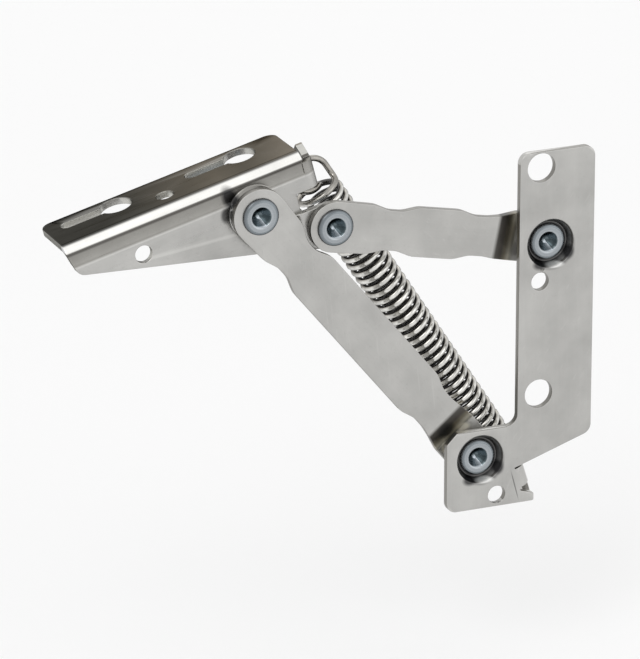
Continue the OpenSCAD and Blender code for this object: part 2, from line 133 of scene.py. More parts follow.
class NodeTree:
    """A material's nodes, with short calls that add and join them."""

    def __init__(self, name: str) -> None:
        """Starts an empty material with an output and a metal shader.

        Args:
            name: The material's name.
        """
        self.material = bpy.data.materials.new(name)
        self.material.use_nodes = True
        self.tree = self.material.node_tree
        self.tree.nodes.clear()
        self.shader = self.add("ShaderNodeBsdfPrincipled")
        output = self.add("ShaderNodeOutputMaterial")
        self.join(self.shader, "BSDF", output, "Surface")
        self.place = self.add("ShaderNodeTexCoord")

    def add(self, kind: str, **settings: object) -> bpy.types.Node:
        """Adds a node.

        Args:
            kind: The node's type.
            settings: Properties of the node to set.

        Returns:
            The new node.
        """
        node = self.tree.nodes.new(kind)
        for key, value in settings.items():
            setattr(node, key, value)
        return node

    def join(self, source: bpy.types.Node, output: str | int, target: bpy.types.Node,
             socket: str | int) -> None:
        """Joins one node's output to another's input."""
        self.tree.links.new(source.outputs[output], target.inputs[socket])

    def mapped(self, turn: Sequence[float] = (0, 0, 0), scale: Sequence[float] = (1, 1, 1),
               centre: Vector | None = None) -> bpy.types.Node:
        """Object coordinates, centred, turned and scaled.

        Args:
            turn: Angles about X, Y and Z, in degrees.
            scale: Scale along the turned axes.
            centre: The point that becomes the origin, in metres.

        Returns:
            A node whose first output holds the coordinates.
        """
        source = self.place
        output = "Object"
        if centre is not None:
            shift = self.add("ShaderNodeMapping")
            shift.inputs["Location"].default_value = -centre
            self.join(source, output, shift, "Vector")
            source = shift
            output = "Vector"
        mapping = self.add("ShaderNodeMapping", vector_type="TEXTURE")
        mapping.inputs["Rotation"].default_value = [math.radians(angle) for angle in turn]
        mapping.inputs["Scale"].default_value = [1 / value for value in scale]
        self.join(source, output, mapping, "Vector")
        return mapping

    def noise(self, mapping: bpy.types.Node, scale: float, detail: float,
              rough: float) -> bpy.types.Node:
        """A noise texture on mapped coordinates.

        Args:
            mapping: The node that gives the coordinates.
            scale: Cells to the metre.
            detail: Number of octaves.
            rough: Strength of the fine octaves.

        Returns:
            The texture node.
        """
        texture = self.add("ShaderNodeTexNoise")
        texture.inputs["Scale"].default_value = scale
        texture.inputs["Detail"].default_value = detail
        texture.inputs["Roughness"].default_value = rough
        self.join(mapping, 0, texture, "Vector")
        return texture

    def ramp(self, source: bpy.types.Node, output: str | int,
             stops: Sequence[tuple[float, Colour]]) -> bpy.types.Node:
        """A colour ramp over a value.

        Args:
            source: The node that gives the value.
            output: Its output.
            stops: Positions and colours.

        Returns:
            The ramp node.
        """
        ramp = self.add("ShaderNodeValToRGB")
        band = ramp.color_ramp
        while len(band.elements) < len(stops):
            band.elements.new(0.5)
        for element, (position, colour) in zip(band.elements, stops):
            element.position = position
            element.color = (*colour, 1)
        self.join(source, output, ramp, "Fac")
        return ramp

    def along(self, place: bpy.types.Node, axis: Axis, start: float, end: float,
              rising: bool = True) -> bpy.types.Node:
        """A number that runs between 0 and 1 from one place on an axis to another.

        Args:
            place: The node that gives the coordinates.
            axis: The axis.
            start: Where the run starts, in metres.
            end: Where it ends.
            rising: Whether it runs up to 1, not down to 0.

        Returns:
            The node whose first output holds the number.
        """
        parts = self.add("ShaderNodeSeparateXYZ")
        self.join(place, 0, parts, 0)
        span = self.add("ShaderNodeMapRange")
        span.inputs["From Min"].default_value = start
        span.inputs["From Max"].default_value = end
        span.inputs["To Min"].default_value = 0 if rising else 1
        span.inputs["To Max"].default_value = 1 if rising else 0
        self.join(parts, axis.value, span, "Value")
        return span

    def product(self, first: bpy.types.Node, second: bpy.types.Node) -> bpy.types.Node:
        """Multiplies the first outputs of two nodes.

        Args:
            first: One node.
            second: The other node.

        Returns:
            The node whose first output holds the product.
        """
        node = self.add("ShaderNodeMath", operation="MULTIPLY")
        self.join(first, 0, node, 0)
        self.join(second, 0, node, 1)
        return node

    def grey_ramp(self, source: bpy.types.Node, output: str | int,
                  stops: Sequence[tuple[float, float]]) -> bpy.types.Node:
        """A ramp of grey levels over a value."""
        greys = [(position, (level, level, level)) for position, level in stops]
        return self.ramp(source, output, greys)

    def grey_run(self, source: bpy.types.Node, output: str | int, span: tuple[float, float],
                 levels: tuple[float, float]) -> bpy.types.Node:
        """A ramp between two grey levels over a span of a value."""
        return self.grey_ramp(source, output, list(zip(span, levels)))

    def mix(self, first: bpy.types.Node, second: bpy.types.Node | Colour,
            factor: bpy.types.Node | float, how: str = "MIX") -> bpy.types.Node:
        """Mixes two colours.

        Args:
            first: The node with the first colour on its first output.
            second: The node with the second colour, or a colour.
            factor: The node with the share of the second, or a number.
            how: The blend mode.

        Returns:
            The mix node, with its colour on output 2.
        """
        mix = self.add("ShaderNodeMix", data_type="RGBA", blend_type=how)
        for socket, value in ((0, factor), (6, first), (7, second)):
            if isinstance(value, bpy.types.Node):
                self.join(value, 2 if value.bl_idname == "ShaderNodeMix" else 0, mix, socket)
            elif socket == 0:
                mix.inputs[socket].default_value = value
            else:
                mix.inputs[socket].default_value = (*value, 1)
        return mix


@dataclass(frozen=True)
class Patch:
    """A soft-edged area of a finish that is darker or lighter than the rest, whole or a ring.

    The centre is in metres, the radii in millimetres and the turn in degrees. The core is the share of
    the radius over which its edge fades, and a hollow is the share left bare.
    """

    centre: Vector
    radii: tuple[float, float, float]
    tint: Colour
    strength: float
    turn: float = 0.0
    core: float = 0.45
    hollow: float = 0.0
    hollow_fade: float = 0.04

    def stops(self) -> list[tuple[float, float]]:
        """The patch's strength from its rim to its middle.

        Returns:
            Places, from 0 at the rim to 1 in the middle, and strengths.
        """
        solid = [(0.0, 0.0), (self.core, self.strength)]
        if not self.hollow:
            return solid
        inner = 1.0 - self.hollow
        return solid + [(inner - self.hollow_fade, self.strength), (inner, 0.0)]


@dataclass(frozen=True)
class Band:
    """Painted shade and highlights that follow one another along an axis, shown only between two places
    on another axis.

    The turn is in degrees, and all lengths are in metres.
    """

    centre: Vector
    turn: float
    axis: Axis
    span: tuple[float, float]
    tints: Tones
    limit: Axis = Axis.DEPTH
    between: tuple[float, float] = (-1.0, 1.0)
    blur: float = 0.12 * MM


@dataclass(frozen=True)
class MetalFinish:
    """Plated steel: its colour, gloss, rolling grain, clouding and scratches, a painted highlight on its
    edges that also stands for edge wear, and painted shade and highlights from its tones, its bands and
    most of its patches.

    Turns are in degrees and cells are to the metre. A span is the range of a noise over which what it
    drives runs from one end to the other. A graze of 0 keeps the colour at a low angle.
    """

    name: str
    colour: Colour
    roughness: float
    gloss_range: tuple[float, float] = (0.85, 1.2)
    gloss_span: tuple[float, float] = (0.3, 0.7)
    grain_turn: float = 0.0
    grain_cells: tuple[float, float, float] = (60, 700, 1500)
    grain_span: tuple[float, float] = (0.25, 0.75)
    grain_strength: float = 0.06
    cloud: float = 0.16
    cloud_cells: float = 70.0
    cloud_span: tuple[float, float] = (0.30, 0.72)
    scratch: float = 0.10
    scratch_turn: tuple[float, float, float] = (8, 34, 21)
    scratch_cells: tuple[float, float, float] = (90, 1300, 1900)
    scratch_span: tuple[float, float] = (0.66, 0.72)
    scratch_light: float = 1.5
    speck_cells: float = 1400.0
    speck_span: tuple[float, float] = (0.30, 0.38)
    speck_dark: float = 0.45
    edge: float = 0.25
    edge_span: tuple[float, float] = (0.51, 0.60)
    edge_light: float = 1.7
    bump: float = 0.05
    bump_depth: float = 0.05 * MM
    graze: float = 1.0
    tones: Tones = ()
    bands: tuple[Band, ...] = ()
    patches: tuple[Patch, ...] = ()

    def material(self) -> bpy.types.Material:
        """Builds the finish.

        Returns:
            The material.
        """
        nodes = NodeTree(self.name)
        shader = nodes.shader
        shader.inputs["Metallic"].default_value = 1.0
        shader.inputs["Specular IOR Level"].default_value = 0.5
        shader.inputs["Specular Tint"].default_value = (self.graze, self.graze, self.graze, 1)
        grain_place = nodes.mapped(turn=(0, self.grain_turn, 0), scale=self.grain_cells)
        grain = nodes.noise(grain_place, 1.0, detail=6, rough=0.6)
        colour = self.worn(nodes, self.rolled(nodes, grain))
        # The tone attribute's ramp paints shade and highlights on the faces it marks
        if self.tones:
            tone = nodes.add("ShaderNodeAttribute", attribute_name=TONE)
            colour = nodes.mix(colour, nodes.ramp(tone, "Fac", self.tones), 1.0, "MULTIPLY")
        # Each band paints shade and highlights along one axis
        for band in self.bands:
            colour = self.striped(nodes, colour, band)
        # Patches: painted shade, reflections and glints, and a few marks of the object's own, such as the
        # spring's blue loop
        for patch in self.patches:
            colour = self.painted(nodes, colour, patch)
        # Painted highlight on convex edges, which also stands for edge wear
        geometry = nodes.add("ShaderNodeNewGeometry")
        edge_wear_and_highlight = nodes.grey_run(geometry, "Pointiness", self.edge_span, (0.0, self.edge))
        colour = nodes.mix(colour, self.shade(self.edge_light), edge_wear_and_highlight)
        nodes.join(colour, 2, shader, "Base Color")
        self.glossed(nodes, grain)
        return nodes.material

    def rolled(self, nodes: NodeTree, grain: bpy.types.Node) -> bpy.types.Node:
        """The plating's colour with its clouding and its rolling grain.

        Args:
            nodes: The material's nodes.
            grain: The noise that the grain follows.

        Returns:
            The mix node that holds the colour.
        """
        cloud = nodes.noise(nodes.mapped(), self.cloud_cells, detail=3, rough=0.55)
        dull, bright = self.shade(1 - self.cloud), self.shade(1 + self.cloud / 2)
        base = nodes.ramp(cloud, "Fac", list(zip(self.cloud_span, (dull, bright))))
        grain_tone = nodes.grey_run(grain, "Fac", self.grain_span, (1 - self.grain_strength, 1.0))
        return nodes.mix(base, grain_tone, 1.0, "MULTIPLY")

    def worn(self, nodes: NodeTree, colour: bpy.types.Node) -> bpy.types.Node:
        """Adds light scratches and dark specks to a colour.

        Args:
            nodes: The material's nodes.
            colour: The mix node that holds the colour so far.

        Returns:
            The mix node with the wear.
        """
        tip, turn, roll = self.scratch_turn
        place = nodes.mapped(turn=(tip, self.grain_turn + turn, roll), scale=self.scratch_cells)
        scratch = nodes.noise(place, 1.0, detail=2, rough=0.4)
        scratch_tone = nodes.grey_run(scratch, "Fac", self.scratch_span, (0.0, self.scratch))
        colour = nodes.mix(colour, self.shade(self.scratch_light), scratch_tone)
        speck = nodes.noise(nodes.mapped(), self.speck_cells, detail=2, rough=0.5)
        speck_tone = nodes.grey_run(speck, "Fac", self.speck_span, (self.scratch, 0.0))
        return nodes.mix(colour, self.shade(self.speck_dark), speck_tone)

    def glossed(self, nodes: NodeTree, grain: bpy.types.Node) -> None:
        """Lets the gloss and a fine relief follow the grain.

        Args:
            nodes: The material's nodes.
            grain: The noise that the grain follows.
        """
        shiny, dull = self.gloss_range
        start, end = self.gloss_span
        gloss = nodes.add("ShaderNodeMapRange")
        gloss.inputs["From Min"].default_value = start
        gloss.inputs["From Max"].default_value = end
        gloss.inputs["To Min"].default_value = self.roughness * shiny
        gloss.inputs["To Max"].default_value = self.roughness * dull
        nodes.join(grain, "Fac", gloss, "Value")
        nodes.join(gloss, "Result", nodes.shader, "Roughness")
        relief = nodes.add("ShaderNodeBump")
        relief.inputs["Strength"].default_value = self.bump
        relief.inputs["Distance"].default_value = self.bump_depth
        nodes.join(grain, "Fac", relief, "Height")
        nodes.join(relief, "Normal", nodes.shader, "Normal")

    def shade(self, factor: float) -> Colour:
        """The finish's colour made lighter or darker."""
        return tuple(min(1.0, channel * factor) for channel in self.colour)

    def striped(self, nodes: NodeTree, colour: bpy.types.Node, band: Band) -> bpy.types.Node:
        """Paints shade and highlights on a colour along one axis.

        Args:
            nodes: The material's nodes.
            colour: The mix node that holds the colour so far.
            band: The tints and where they lie.

        Returns:
            The mix node with the tints.
        """
        place = nodes.mapped(turn=(0, band.turn, 0), centre=band.centre)
        start, end = band.span
        run = nodes.along(place, band.axis, start, end)
        stops = [((position - start) / (end - start), tint) for position, tint in band.tints]
        low, high = band.between
        inside = nodes.product(nodes.along(place, band.limit, low, low + band.blur),
                               nodes.along(place, band.limit, high - band.blur, high, rising=False))
        return nodes.mix(colour, nodes.ramp(run, 0, stops), inside, "MULTIPLY")

    def painted(self, nodes: NodeTree, colour: bpy.types.Node, patch: Patch) -> bpy.types.Node:
        """Adds a soft-edged patch to a colour.

        Args:
            nodes: The material's nodes.
            colour: The mix node that holds the colour so far.
            patch: The patch.

        Returns:
            The mix node with the patch.
        """
        scale = [1 / (radius * MM) for radius in patch.radii]
        ball = nodes.mapped(turn=(0, patch.turn, 0), scale=scale, centre=patch.centre)
        gradient = nodes.add("ShaderNodeTexGradient", gradient_type="SPHERICAL")
        nodes.join(ball, 0, gradient, "Vector")
        share = nodes.grey_ramp(gradient, "Fac", patch.stops())
        return nodes.mix(colour, patch.tint, share)


class Workshop:
    """Shared ways to make, dress and place a piece."""

    def __init__(self, slot: str, finish: MetalFinish) -> None:
        """Keeps the material slot and builds the finish.

        Args:
            slot: The record's material slot; it is kept but not used.
            finish: The finish of every piece made here.
        """
        self.slot = slot
        self.finish = finish.material()

    def place(self, name: str, mesh: bpy.types.Mesh, body: str | None, *nodes: str) -> bpy.types.Object:
        """Puts a finished mesh in the scene.

        Args:
            name: The piece's name.
            mesh: Its mesh, in the row's frame.
            body: The CAD body that it rides on, or None for a piece that rides on none.
            nodes: The CAD nodes that it stands for.

        Returns:
            The new object.
        """
        mesh.materials.clear()
        mesh.materials.append(self.finish)
        piece = bpy.data.objects.new(name, mesh)
        bpy.context.scene.collection.objects.link(piece)
        if body is not None:
            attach(piece, body)
        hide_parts(*nodes)
        LOG.info("%s: %d faces", name, len(mesh.polygons))
        return piece


@dataclass
class PressedSheet:
    """A piece pressed from sheet, with the softly broken edges of the stamping.

    Edges sharper than the sharp angle, in degrees, are broken. A face with more metal behind it than the
    cut depth was cut through the sheet.
    """

    node: str
    body: str
    finish: MetalFinish
    edge_break: float = 0.22 * MM
    sharp: float = 28.0
    skin: float = 0.05 * MM
    cut_depth: float = 2.7 * MM

    def build(self) -> bpy.types.Object:
        """Makes the piece from its solid and breaks the sharp edges.

        Returns:
            The piece.
        """
        work = bmesh.new()
        work.from_mesh(frame["nodes"][self.node].data)
        bmesh.ops.remove_doubles(work, verts=work.verts, dist=WELD)
        limit = math.radians(self.sharp)
        sharp = [edge for edge in work.edges if edge.calc_face_angle(0) > limit]
        broken = bmesh.ops.bevel(work, geom=sharp, offset=self.edge_break, offset_type="OFFSET",
                                 affect="EDGES", segments=2, profile=0.5, material=-1,
                                 clamp_overlap=False, loop_slide=False)
        for face in work.faces:
            face.smooth = True
        self.mark_cuts(work, set(broken["faces"]))
        mesh = bpy.data.meshes.new(self.node)
        work.to_mesh(mesh)
        work.free()
        shop = Workshop("nickel_sheet", self.finish)
        piece = shop.place(f"{self.node}_pressed", mesh, self.body, self.node)
        shading = piece.modifiers.new("even_shading", "WEIGHTED_NORMAL")
        shading.mode = "FACE_AREA_WITH_ANGLE"
        shading.weight = 50
        return piece

    def mark_cuts(self, work: bmesh.types.BMesh, broken: set[bmesh.types.BMFace]) -> None:
        """Marks the faces that were cut through the sheet, for the finish's tones to paint shade on the
        plate and arms and a highlight on the bracket.

        Args:
            work: The piece's mesh.
            broken: The faces of its broken edges.
        """
        tone = work.faces.layers.float.new(TONE)
        tree = BVHTree.FromBMesh(work)
        for face in work.faces:
            start = face.calc_center_median() - self.skin * face.normal
            depth = tree.ray_cast(start, -face.normal)[3]
            rolled = depth is not None and depth < self.cut_depth
            face[tone] = 0.0 if rolled or face in broken else 1.0


@dataclass
class Rivet:
    """A rivet turned with a flat head on the spring's side and a dished, hollow tail on the wall side.

    Sizes are in millimetres. The dish and the crown are the tail's section from its middle outwards, each
    point a radius and a depth behind the tail's lip. The facets are painted glints and painted shade on
    the sides of the dish, one level for each sector.
    """

    node: str
    body: str
    pivot: Vector
    finish: MetalFinish
    shank_r: float = 2.5
    head_r: float = 5.3
    tail_r: float = 5.0
    arm_y: float = 2.4
    tail_y: float = 1.4
    head_y: float = 6.6
    head_top_y: float = 7.7
    dish: tuple[tuple[float, float], ...] = ((0, 2.6), (0.8, 2.55), (1.1, 2.35), (2.2, 1.0), (2.45, 0.62),
                                             (2.75, 0.2), (3.0, 0.04), (3.3, 0))
    crown: tuple[tuple[float, float], ...] = ((4.1, 0), (4.45, 0.08), (4.75, 0.24), (4.95, 0.5))
    tail_side: float = 0.25
    head_edge: float = 0.15
    head_fall: float = 0.35
    head_round: tuple[float, float] = (0.1, 0.13)
    steps: int = 72
    # The recess radius, the facets and the two tones place each face on the ramp of painted glints and
    # shade
    recess_r: float = 2.6
    facet_glints: tuple[float, ...] = (0.14, 0.02, 0.18, 0.27, 0.30, 0.04)
    rim_tone: float = 0.4
    head_tone: float = 0.62
    sharp: float = 50.0

    def profile(self) -> list[tuple[float, float]]:
        """The rivet's half section.

        Returns:
            Radius and distance behind the wall face of each point, in millimetres.
        """
        tail = [(radius, self.tail_y + depth) for radius, depth in self.dish + self.crown]
        tail += [(self.tail_r, self.arm_y - self.tail_side), (self.tail_r, self.arm_y)]
        shank = [(self.shank_r, self.arm_y), (self.shank_r, self.head_y)]
        edge, fall, rim, top = self.head_edge, self.head_fall, self.head_r, self.head_top_y
        inwards, down = self.head_round
        head = [(rim - edge, self.head_y), (rim, self.head_y + edge), (rim, top - fall),
                (rim - inwards, top - down), (rim - fall, top), (0, top)]
        return tail + shank + head

    def build(self) -> bpy.types.Object:
        """Turns the section about the pivot.

        Returns:
            The piece.
        """
        work = bmesh.new()
        centre = Vector((self.pivot.x, 0, self.pivot.z))
        points = [work.verts.new(centre + mm(radius, y, 0)) for radius, y in self.profile()]
        edges = [work.edges.new(pair) for pair in zip(points, points[1:])]
        bmesh.ops.spin(work, geom=points + edges, cent=centre, axis=(0, 1, 0),
                       angle=math.tau, steps=self.steps, use_merge=True)
        bmesh.ops.remove_doubles(work, verts=work.verts, dist=WELD)
        bmesh.ops.recalc_face_normals(work, faces=work.faces)
        tone = work.faces.layers.float.new(TONE)
        for face in work.faces:
            face.smooth = True
            face[tone] = self.tone(face.calc_center_median() - centre)
        mesh = bpy.data.meshes.new(self.node)
        work.to_mesh(mesh)
        work.free()
        mesh.set_sharp_from_angle(angle=math.radians(self.sharp))
        shop = Workshop("zinc_rivet", self.finish)
        return shop.place(f"{self.node}_turned", mesh, self.body, self.node)

    def tone(self, spot: Vector) -> float:
        """Where a face lies on the ramp of painted shade and glints: by sector in the dish, then by its
        distance from the middle.

        Args:
            spot: The face's middle, from the rivet's axis at the wall face, in metres.

        Returns:
            The tone, from 0 to 1.
        """
        radius = math.hypot(spot.x, spot.z) / MM
        depth = spot.y / MM
        if radius < self.recess_r and depth < self.head_y:
            sector = int((math.atan2(spot.z, spot.x) / math.tau + 1) * len(self.facet_glints))
            return self.facet_glints[sector % len(self.facet_glints)]
        if depth > self.arm_y:
            return self.head_tone
        outwards = (radius - self.recess_r) / (self.tail_r - self.recess_r)
        return self.rim_tone + (1 - self.rim_tone) * outwards


@dataclass
class TensionSpring:
    """The wound spring: one wire from the loop in the foot tab, through the coil, to the bracket's loop.

    Sizes are in millimetres. The loops' centres stand loop_rise below the coil and top_rise above it.
    Each loop curls in over its last part. The coil's top turn swells to one side and lifts there.
    """

    finish: MetalFinish
    lower_loop: Vector
    upper_loop: Vector
    wire_d: float = 1.7
    coil_r: float = 5.0
    coil_turns: float = 36.0
    loop_rise: float = 6.5
    top_rise: float = 4.2
    loop_arc: float = 290.0
    loop_curl: float = 1.6
    bend: float = 2.4
    bend_pull: float = 0.55
    swell: float = 1.7
    lift: float = 1.3
    # Where the loops sit on the wire's ramp of painted shade and highlight
    loop_tone: float = 0.77
    turn_steps: int = 36
    bend_steps: int = 8
    loop_steps: int = 48
    roundness: int = 3

    @property
    def length(self) -> float:
        """Distance between the loops' centres, in millimetres."""
        return (self.upper_loop - self.lower_loop).length / MM

    @property
    def pitch(self) -> float:
        """Rise of one turn, in millimetres."""
        return (self.length - self.loop_rise - self.top_rise) / self.coil_turns

    def coil_point(self, turns: float) -> Vector:
        """A point of the coil, whose last turn is wide and leans.

        Args:
            turns: Number of turns from the coil's foot.

        Returns:
            The point, in the spring's own frame, in millimetres.
        """
        angle = math.tau * turns
        bulge = math.sin(math.pi * min(1.0, self.coil_turns - turns)) ** 2
        across = self.coil_r * math.cos(angle) - self.swell * bulge
        rise = self.loop_rise + self.pitch * turns + self.lift * bulge
        return Vector((across, self.coil_r * math.sin(angle), rise))

    def coil_heading(self, turns: float) -> Vector:
        """The wire's direction in the coil.

        Args:
            turns: Number of turns from the coil's foot.

        Returns:
            The direction, of length 1.
        """
        angle = math.tau * turns
        across, deep = -self.coil_r * math.sin(angle), self.coil_r * math.cos(angle)
        return Vector((across, deep, self.pitch / math.tau)).normalized()

    def swept(self, start: Vector, start_heading: Vector, end: Vector,
              end_heading: Vector) -> list[Vector]:
        """Points of a smooth bend between two headings.

        Args:
            start: Where the bend starts.
            start_heading: The wire's direction there.
            end: Where the bend ends.
            end_heading: The wire's direction there.

        Returns:
            The points between the two ends.
        """
        second = start + self.bend_pull * self.bend * start_heading
        third = end - self.bend_pull * self.bend * end_heading
        points = []
        for step in range(1, self.bend_steps):
            t = step / self.bend_steps
            s = 1 - t
            points.append(s ** 3 * start + 3 * s * s * t * second + 3 * s * t * t * third + t ** 3 * end)
        return points

    def loop_points(self, side: int, base: float) -> list[Vector]:
        """Points of an end loop, from its free end to where it meets the straight lead.

        Args:
            side: 1 for the lower loop and -1 for the upper one.
            base: Height of the loop's centre.

        Returns:
            The points.
        """
        arc = math.radians(self.loop_arc)
        points = []
        for step in range(self.loop_steps + 1):
            angle = -arc + arc * step / self.loop_steps
            curled = max(0.0, (-angle - math.pi) / (arc - math.pi))
            radius = self.coil_r - self.loop_curl * curled
            points.append(Vector((radius * math.cos(angle), 0, base + side * radius * math.sin(angle))))
        return points

    def centre_line(self) -> list[Vector]:
        """The whole wire's centre line, in the spring's own frame, in millimetres.

        Returns:
            The points, from the lower loop's free end to the upper loop's.
        """
        up = Vector((0, 0, 1))
        lead = self.bend / (math.tau * self.coil_r)
        last = self.coil_turns - lead
        count = round((last - lead) * self.turn_steps)
        low_bend = Vector((self.coil_r, 0, self.loop_rise - self.bend))
        high_bend = Vector((self.coil_r, 0, self.length - self.top_rise + self.bend))
        coil = [self.coil_point(lead + (last - lead) * step / count) for step in range(count + 1)]
        entry = self.swept(low_bend, up, coil[0], self.coil_heading(lead))
        leave = self.swept(coil[-1], self.coil_heading(last), high_bend, up)
        upper = list(reversed(self.loop_points(-1, self.length)))
        return self.loop_points(1, 0) + [low_bend] + entry + coil + leave + [high_bend] + upper

    def build(self) -> bpy.types.Object:
        """Sweeps the wire between its two ends.

        Returns:
            The piece.
        """
        axis = (self.upper_loop - self.lower_loop).normalized()
        cross = Vector((0, 1, 0))
        side = cross.cross(axis)
        to_row = Matrix((side, cross, axis)).transposed()
        curve = bpy.data.curves.new("spring_line", "CURVE")
        curve.dimensions = "3D"
        curve.bevel_depth = self.wire_d / 2 * MM
        curve.bevel_resolution = self.roundness
        curve.use_fill_caps = True
        line = self.centre_line()
        spline = curve.splines.new("POLY")
        spline.points.add(len(line) - 1)
        for point, place in zip(spline.points, line):
            point.co = (*(self.lower_loop + to_row @ (place * MM)), 1)
        holder = bpy.data.objects.new("spring_line", curve)
        mesh = bpy.data.meshes.new_from_object(holder)
        bpy.data.objects.remove(holder)
        bpy.data.curves.remove(curve)
        for face in mesh.polygons:
            face.use_smooth = True
        self.mark_inside(mesh, axis)
        shop = Workshop("spring_wire", self.finish)
        piece = shop.place("spring_wire", mesh, None, "tension_spring", "spring_upper_loop")
        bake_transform(piece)
        return piece

    def mark_inside(self, mesh: bpy.types.Mesh, axis: Vector) -> None:
        """Paints shade on the coil's inner side and a highlight on its outer crest, by each point's
        distance from the spring's axis; the loops get one even tone.

        Args:
            mesh: The wire's mesh.
            axis: The spring's direction.
        """
        tone = mesh.attributes.new(TONE, "FLOAT", "POINT")
        inner = (self.coil_r - self.wire_d / 2) * MM
        for vertex, value in zip(mesh.vertices, tone.data):
            spot = vertex.co - self.lower_loop
            height = min(max(spot.dot(axis), 0.0), self.length * MM)
            in_coil = self.loop_rise < height / MM < self.length - self.top_rise
            reach = (spot - height * axis).length
            value.value = (reach - inner) / (self.wire_d * MM) if in_coil else self.loop_tone


@dataclass(frozen=True)
class Lamp:
    """One square soft lamp: where it stands from the object's middle, its power in watts and its side."""

    name: str
    place: tuple[float, float, float]
    power: float
    size: float


@dataclass
class Studio:
    """The floor, the lamps, the white surround and the camera.

    Lengths are in metres, angles in degrees and the lens in millimetres.
    """

    middle: Vector
    azimuth: float = -23.0
    elevation: float = 20.0
    distance: float = 1.5
    lens: float = 308.0
    nearest: float = 0.01
    soft_light: float = 0.87
    seen_light: float = 1.0
    floor_r: float = 6.0
    floor_sides: int = 64
    floor_drop: float = 0.05
    floor_level: float = 0.94
    floor_roughness: float = 0.9
    floor_shine: float = 0.1
    lamps: tuple[Lamp, ...] = (Lamp("key", (-0.9, -0.9, 1.3), 5, 0.9),
                               Lamp("fill", (1.0, -1.2, 0.5), 2, 1.2),
                               Lamp("rim", (0.5, 1.1, 1.0), 2, 0.9))

    def direction(self) -> Vector:
        """From the object towards the camera.

        Returns:
            The direction, of length 1.
        """
        around = math.radians(self.azimuth)
        above = math.radians(self.elevation)
        flat = math.cos(above)
        return Vector((math.sin(around) * flat, -math.cos(around) * flat, math.sin(above)))

    def camera(self) -> None:
        """Makes the camera at the photograph's viewing angle."""
        data = bpy.data.cameras.new("camera")
        data.lens = self.lens
        data.clip_start = self.nearest
        camera = bpy.data.objects.new("camera", data)
        bpy.context.scene.collection.objects.link(camera)
        camera.location = self.middle + self.distance * self.direction()
        camera.rotation_mode = "QUATERNION"
        camera.rotation_quaternion = (-self.direction()).to_track_quat("-Z", "Y")
        bpy.context.scene.camera = camera

    def hang(self, lamp: Lamp) -> None:
        """Adds one soft lamp that points at the object.

        Args:
            lamp: The lamp.
        """
        data = bpy.data.lights.new(lamp.name, "AREA")
        data.energy = lamp.power
        data.size = lamp.size
        light = bpy.data.objects.new(lamp.name, data)
        bpy.context.scene.collection.objects.link(light)
        offset = Vector(lamp.place)
        light.location = self.middle + offset
        light.rotation_mode = "QUATERNION"
        light.rotation_quaternion = (-offset).to_track_quat("-Z", "Y")

    def seen_directly(self, tree: bpy.types.NodeTree) -> bpy.types.Node:
        """Adds nodes that give 1 to rays from the camera, a reflection or a clear piece.

        Args:
            tree: The material's or the world's nodes.

        Returns:
            The node whose first output holds the number.
        """
        path = tree.nodes.new("ShaderNodeLightPath")
        total = path.outputs["Is Camera Ray"]
        node = None
        for ray in ("Is Glossy Ray", "Is Transmission Ray"):
            node = tree.nodes.new("ShaderNodeMath")
            node.operation = "MAXIMUM"
            tree.links.new(total, node.inputs[0])
            tree.links.new(path.outputs[ray], node.inputs[1])
            total = node.outputs[0]
        return node

    def surround(self) -> None:
        """Makes the world: white where it is seen, and a soft grey light on the object."""
        world = bpy.data.worlds.new("surround")
        world.use_nodes = True
        tree = world.node_tree
        tree.nodes.clear()
        choice = tree.nodes.new("ShaderNodeMixShader")
        output = tree.nodes.new("ShaderNodeOutputWorld")
        tree.links.new(self.seen_directly(tree).outputs[0], choice.inputs[0])
        for socket, strength in ((1, self.soft_light), (2, self.seen_light)):
            light = tree.nodes.new("ShaderNodeBackground")
            light.inputs["Color"].default_value = (1, 1, 1, 1)
            light.inputs["Strength"].default_value = strength
            tree.links.new(light.outputs[0], choice.inputs[socket])
        tree.links.new(choice.outputs[0], output.inputs["Surface"])
        bpy.context.scene.world = world

    def floor(self) -> None:
        """Makes the plain pale floor under the object."""
        work = bmesh.new()
        under = (self.middle.x, self.middle.y, CAD_LOW.z - self.floor_drop)
        bmesh.ops.create_circle(work, cap_ends=True, radius=self.floor_r, segments=self.floor_sides)
        bmesh.ops.translate(work, verts=work.verts, vec=under)
        mesh = bpy.data.meshes.new("floor")
        work.to_mesh(mesh)
        work.free()
        material = bpy.data.materials.new("pale_floor")
        material.use_nodes = True
        shader = material.node_tree.nodes["Principled BSDF"]
        level = self.floor_level
        shader.inputs["Base Color"].default_value = (level, level, level, 1)
        shader.inputs["Roughness"].default_value = self.floor_roughness
        shader.inputs["Specular IOR Level"].default_value = self.floor_shine
        mesh.materials.append(material)
        floor = bpy.data.objects.new("floor", mesh)
        bpy.context.scene.collection.objects.link(floor)

    def build(self) -> None:
        """Sets up the whole studio."""
        self.surround()
        self.floor()
        for lamp in self.lamps:
            self.hang(lamp)
        self.camera()
        bpy.context.scene.view_settings.view_transform = "Standard"


